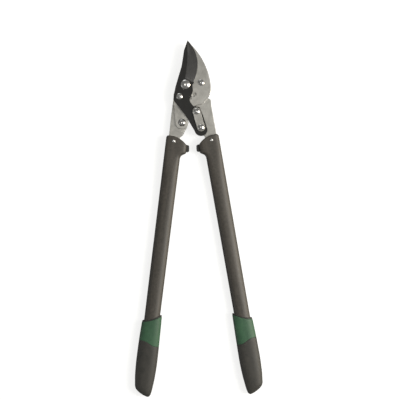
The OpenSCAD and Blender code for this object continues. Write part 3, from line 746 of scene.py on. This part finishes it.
@dataclass
class HandleBody:
    """Moulded handle: an oval shaft that swells into a flat-faced boss with a lug on its inner side.

    Sections are superellipses from u_in to u_out. Near the top each section bends like the boss's
    slanted top edge, and the bend fades out at the boss's foot. Sizes are in millimetres.
    """

    frame: HandleFrame
    points: int = 96
    shaft_rings: int = 130
    boss_rings: int = 90
    boss_from: float = -45.0
    boss_gap: float = 0.5
    bend_from: float = -41.0
    edge: float = 2.2
    edge_steps: int = 9
    crease: float = 60.0
    bumper_edge: float = 0.9
    fade: tuple[float, ...] = (0.8, 0.6, 0.4, 0.2, 0.03)
    v: tuple[float, ...] = (-372, -353, -115, -85, -60, -41, -36, -32, -28, -24, -20, -12, -3, 0)
    u_in: tuple[float, ...] = (
        14.9, 14.95, 15.4, 15.5, 15.55, 15.6, 16.4, 18.6, 22.1, 25.0, 26, 26, 25.9, 25.2)
    u_out: tuple[float, ...] = (
        14.9, 14.95, 15.4, 15.5, 15.55, 15.6, 15.6, 15.6, 15.6, 15.6, 15.6, 15.6, 15.5, 14.9)
    thick: tuple[float, ...] = (
        10.4, 10.5, 10.5, 11.1, 11.8, 12.3, 12.4, 12.45, 12.5, 12.5, 12.5, 12.5, 12.5, 12.4)
    power: tuple[float, ...] = (2.3, 2.3, 2.35, 2.6, 3.1, 3.8, 4.1, 4.4, 4.7, 5, 5, 5, 5, 5)
    top_u: tuple[float, ...] = (-26, -23.7, -18.6, -14.7, -8.2, -0.5, 7.1, 12.2, 16)
    top_v: tuple[float, ...] = (-13.2, -11.2, -6.9, -4.3, -1.2, 1.2, 1.6, 1.5, 0.2)

    def surface(self) -> np.ndarray:
        """Rings from the foot to the middle of the top, as (rings, points, 3)."""
        shaft = np.linspace(self.v[0], self.boss_from, self.shaft_rings)
        boss = np.linspace(self.boss_from + self.boss_gap, -self.edge, self.boss_rings)
        stops, count = np.concatenate([shaft, boss]), len(self.fade)
        t = np.linspace(0, np.pi / 2, self.edge_steps)[1:]
        v = np.concatenate([stops, -self.edge * (1 - np.sin(t)), np.zeros(count)])
        inset = np.concatenate([0 * stops, self.edge * (1 - np.cos(t)), np.full(count, self.edge)])
        share = np.concatenate([np.ones(len(stops) + len(t)), self.fade])
        inner, outer = -ease(self.v, self.u_in, v), ease(self.v, self.u_out, v)
        wide = ((outer - inner) / 2 - inset) * share
        deep = (ease(self.v, self.thick, v) - inset) * share
        x, z = oval(wide, deep, ease(self.v, self.power, v), self.points)
        u = (outer + inner)[:, None] / 2 + x
        bend = np.clip(1 - v / self.bend_from, 0, 1)[:, None]
        along = v[:, None] + bend * ease(self.top_u, self.top_v, u)
        return self.frame.place(u * MM, along * MM, z * MM)

    def build(self, palette: Palette) -> None:
        """Builds and dresses the handle, its core tube, bumper and end plug."""
        word, body = self.frame.side.word, self.frame.side.body
        piece = skin(f"{word}_handle_moulding", self.surface(), self.crease)
        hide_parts(f"{word}_handle")
        finish = MouldedComposite(f"{word} moulded composite", middle=self.frame.middle, lean=self.frame.lean)
        mount(piece, body, finish.build())
        pad = softened(f"{word}_bumper", f"{word}_bumper_pad", self.bumper_edge * MM, 4)
        mount(pad, body, palette.bumper)
        dress(bpy.data.objects[f"{word}_core"], palette.tube)
        dress(bpy.data.objects[f"{word}_end_plug"], palette.plug)


@dataclass
class Grip:
    """Over-moulded grip in three pieces: a lip in rubber darkened as painted shade along the grip's flared
    top, a green band and the dark grip below it.

    Each piece is a sleeve of superellipse sections. Its outer skin swells along v, and its end rings
    bend across the handle as the real seams do. Sizes are in millimetres.
    """

    frame: HandleFrame
    points: int = 96
    power: float = 2.6
    crease: float = 50.0
    edge_steps: int = 6
    top: float = -353.0
    seam: float = -402.0
    seam_gap: float = 0.1
    socket: float = 15.15
    socket_thick: float = 10.65
    socket_power: float = 2.35
    socket_floor: float = -483.8
    lip_len: float = 2.6
    lip_edge: float = 0.7
    lip_inset: float = 0.4
    lip_rings: int = 4
    band_edge: float = 0.9
    band_rings: int = 44
    grip_edge: float = 0.5
    grip_rings: int = 48
    grip_last: float = -467.0
    end_rings: int = 48
    bend_fade: float = 1.5
    v: tuple[float, ...] = (-468, -450, -437, -420, -405, -388, -372, -360, -353, -343)
    wide: tuple[float, ...] = (19.3, 20.2, 20.45, 20.35, 20.1, 19.7, 19.2, 18.8, 18.5, 18.3)
    thick: tuple[float, ...] = (12.4, 12.5, 12.5, 12.5, 12.4, 12.2, 12.0, 11.8, 11.7, 11.6)
    end_out: tuple[tuple[float, float], ...] = (
        (19.3, -467.9), (18.0, -478.5), (16.8, -487.3), (14.5, -492.5), (10.5, -496.4), (5.0, -500.1),
        (-1.0, -503.1), (-6.0, -505.0), (-8.2, -505.7))
    end_in: tuple[tuple[float, float], ...] = (
        (-19.3, -469.9), (-18.2, -480.6), (-17.2, -490.0), (-16.2, -496.8), (-15.0, -501.4), (-13.5, -504.2),
        (-11.8, -505.5), (-9.9, -505.9), (-8.4, -505.9))
    end_thick: tuple[float, ...] = (12.4, 12.2, 11.8, 11.0, 9.6, 7.7, 5.4, 2.8, 0.3)
    lip_u: tuple[float, ...] = (-20, -16, -8, 0, 8, 16, 20)
    lip_v: tuple[float, ...] = (8.6, 6.6, 2.3, -1.6, -4.5, -6.3, -6.9)
    seam_u: tuple[float, ...] = (-20, -10, -5, 0, 6, 12, 20)
    seam_v: tuple[float, ...] = (-5.2, -4.4, -2.6, 0.2, 2.9, 3.9, 4.3)

    def socket_ring(self, v: float, bend: Callable[[np.ndarray], np.ndarray]) -> np.ndarray:
        """One inner section that clears the shaft."""
        sizes = (np.array([size]) for size in (self.socket, self.socket_thick, self.socket_power))
        x, z = oval(*sizes, self.points)
        return self.frame.place(x * MM, (v + bend(x)) * MM, z * MM)

    def lip_bend(self, u: np.ndarray) -> np.ndarray:
        """Rise of the lip across the handle."""
        return ease(self.lip_u, self.lip_v, u)

    def seam_bend(self, u: np.ndarray) -> np.ndarray:
        """Rise of the seam between green and dark across the handle."""
        return ease(self.seam_u, self.seam_v, u)

    def sleeve(self, name: str, top: float, end: float, bends: tuple[Callable, Callable], edge: float,
               count: int, inset: float = 0.0) -> bpy.types.Object:
        """Sleeve between two bent seams, with both outer edges rounded.

        Args:
            name: Name of the new object.
            top: Place of its upper seam along the handle.
            end: Place of its lower seam along the handle.
            bends: Shapes of the upper and the lower seam.
            edge: Radius of its outer edges.
            count: Rings between the rounded edges.
            inset: How far it stands back from the grip's skin.

        Returns:
            The new object.
        """
        t = np.linspace(0, np.pi / 2, self.edge_steps)
        v = np.concatenate([top - edge * (1 - np.cos(t)), np.linspace(top - edge, end + edge, count)[1:-1],
                            end + edge * (1 - np.cos(t[::-1]))])
        shrink = edge - edge * np.concatenate([np.sin(t), np.ones(count - 2), np.sin(t[::-1])])
        share = ((top - v) / (top - end))[:, None]
        x, z = oval(ease(self.v, self.wide, v) - shrink - inset, ease(self.v, self.thick, v) - shrink - inset,
                    np.full(len(v), self.power), self.points)
        along = v[:, None] + bends[0](x) * (1 - share) + bends[1](x) * share
        outer = self.frame.place(x * MM, along * MM, z * MM)
        inner = [self.socket_ring(end, bends[1]), self.socket_ring(top, bends[0])]
        return skin(name, np.concatenate([outer, *inner]), self.crease, joined=True)

    def lower(self, name: str) -> bpy.types.Object:
        """Dark grip: from the seam down to a slanted, rounded end, with the shaft's socket inside.

        Each section of the end joins a point of its outer outline to one of its inner outline, so its
        middle, half width and lean follow from the two points.
        """
        edge, last = self.grip_edge, self.grip_last
        t = np.linspace(0, np.pi / 2, self.edge_steps)
        plain = np.linspace(self.seam - edge, last, self.grip_rings)[1:]
        v = np.concatenate([self.seam - edge * (1 - np.sin(t[::-1])), plain])
        shrink = np.concatenate([edge * (1 - np.cos(t[::-1])), np.zeros(len(plain))])
        share = np.clip((self.seam - v) / (self.seam - last), 0, 1)[:, None]
        wide, thick = ease(self.v, self.wide, v) - shrink, ease(self.v, self.thick, v) - shrink
        x, z = oval(wide, thick, np.full(len(v), self.power), self.points)
        lean = (self.end_out[0][1] - self.end_in[0][1]) / (2 * self.end_out[0][0])
        along = v[:, None] + self.seam_bend(x) * (1 - share) ** self.bend_fade + lean * x * share
        body = self.frame.place(x * MM, along * MM, z * MM)
        stops = np.arange(len(self.end_out))
        s = np.linspace(0, stops[-1], self.end_rings + 1)[1:]
        out_u, out_v, in_u, in_v = (ease(stops, [p[n] for p in row], s)
                                    for row in (self.end_out, self.end_in) for n in (0, 1))
        half = (out_u - in_u) / 2
        x, z = oval(half, ease(stops, self.end_thick, s), np.full(len(s), self.power), self.points)
        part = x / half[:, None]
        u = (out_u + in_u)[:, None] / 2 + x
        along = (out_v + in_v)[:, None] / 2 + part * (out_v - in_v)[:, None] / 2
        end = self.frame.place(u * MM, along * MM, z * MM)
        floor = self.socket_ring(self.socket_floor, lambda u: 0 * u)
        mouth = self.socket_ring(self.seam, self.seam_bend)
        return skin(name, np.concatenate([floor, mouth, body, end]), self.crease)

    def build(self, palette: Palette) -> None:
        """Builds and dresses the three pieces."""
        word, body = self.frame.side.word, self.frame.side.body
        lip = self.sleeve(f"{word}_lip", self.top, self.top - self.lip_len, (self.lip_bend, self.lip_bend),
                          self.lip_edge, self.lip_rings, self.lip_inset)
        band = self.sleeve(f"{word}_green_band", self.top - (self.lip_len + self.seam_gap), self.seam,
                           (self.lip_bend, self.seam_bend), self.band_edge, self.band_rings)
        grip = self.lower(f"{word}_dark_grip")
        for piece, node, slot, material in (
            # The lip wears rubber darkened as painted shade for the line along the grip's flared top.
            (lip, "grip_lip", "grip_dark", palette.lip),
            (band, "grip_band", "grip_green", palette.green),
            (grip, "grip", "grip_dark", palette.grip),
        ):
            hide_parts(f"{word}_{node}")
            mount(piece, body, material)


# ------------------------------------------------------------------ studio


@dataclass(frozen=True)
class Lamp:
    """A round, soft light that faces the middle of the lopper."""

    name: str
    place: Place
    width: float
    power: float
    tint: Colour


@dataclass
class Studio:
    """Pale floor, soft lights and a camera that looks straight down.

    The strong lights stand on the right, a small one stands over the head for the rivets' highlights,
    and two weak fills open up the shadows on the left and the far side.
    """

    view_width: float = 0.7728
    aim: tuple[float, float] = (0.0280, -0.2231)
    level: float = 0.02
    lens: float = 105.0
    far: float = 50.0
    floor_width: float = 14.0
    floor_gap: float = 0.2 * MM
    lamps: tuple[Lamp, ...] = (
        Lamp("key light", (1.55, -0.25, 1.65), 0.9, 36.0, (1.0, 0.96, 0.89)),
        Lamp("low light", (2.05, -0.3, 0.6), 0.9, 24.0, (1.0, 0.90, 0.74)),
        Lamp("high light", (1.35, -0.1, 2.6), 0.9, 12.0, (1.0, 0.99, 0.97)),
        Lamp("small light", (-0.16, 0.02, 2.45), 0.12, 1.6, (1.0, 0.98, 0.95)),
        Lamp("left fill", (-1.9, -0.9, 0.75), 1.4, 3.5, (0.97, 0.99, 1.0)),
        Lamp("far fill", (-0.5, 1.9, 0.8), 1.4, 6.0, (0.97, 0.99, 1.0)),
    )
    sky: float = 0.2
    sky_tint: Colour = (1.0, 0.995, 0.985)

    def floor(self) -> None:
        """Flat paper under the lopper, wide enough to fill any view."""
        low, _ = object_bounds()
        bpy.ops.mesh.primitive_plane_add(size=self.floor_width, location=(0, 0, low[2] - self.floor_gap))
        paper = bpy.context.object
        paper.name = "floor"
        dress(paper, StudioPaper().build())
        paper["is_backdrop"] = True

    def light(self) -> None:
        """Sets up the lamps and an even pale sky."""
        target = np.array([*self.aim, 0.0])
        for lamp in self.lamps:
            data = bpy.data.lights.new(lamp.name, "AREA")
            data.shape, data.size, data.energy, data.color = "DISK", lamp.width, lamp.power, lamp.tint
            piece = placed(lamp.name, data)
            away = np.array(lamp.place) - target
            piece.location = lamp.place
            piece.rotation_euler = (math.acos(away[2] / np.linalg.norm(away)), 0,
                                    math.atan2(away[1], away[0]) + math.pi / 2)
        world = bpy.data.worlds.new("studio")
        world.use_nodes = True
        sky = world.node_tree.nodes["Background"]
        sky.inputs["Color"].default_value = (*self.sky_tint, 1)
        sky.inputs["Strength"].default_value = self.sky
        bpy.context.scene.world = world
        bpy.context.scene.view_settings.view_transform = "Standard"

    def camera(self) -> None:
        """Camera far enough above that its view is view_width wide at the head's level."""
        data = bpy.data.cameras.new("camera")
        data.lens, data.clip_end = self.lens, self.far
        eye = placed("camera", data)
        eye.location = (*self.aim, self.level + self.view_width * self.lens / data.sensor_width)
        bpy.context.scene.camera = eye

    def build(self) -> None:
        """Sets up floor, lights and camera."""
        self.floor()
        self.light()
        self.camera()


def main() -> None:
    logging.basicConfig(level=logging.INFO, format="%(message)s")
    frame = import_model()
    Studio().build()
    palette = Palette.mix()
    Plates().build(palette)
    Fasteners().build(palette)
    for side in Side:
        axes = HandleFrame.of(side, frame["record"])
        HandleBody(axes).build(palette)
        Grip(axes).build(palette)


if __name__ == "__main__":
    main()
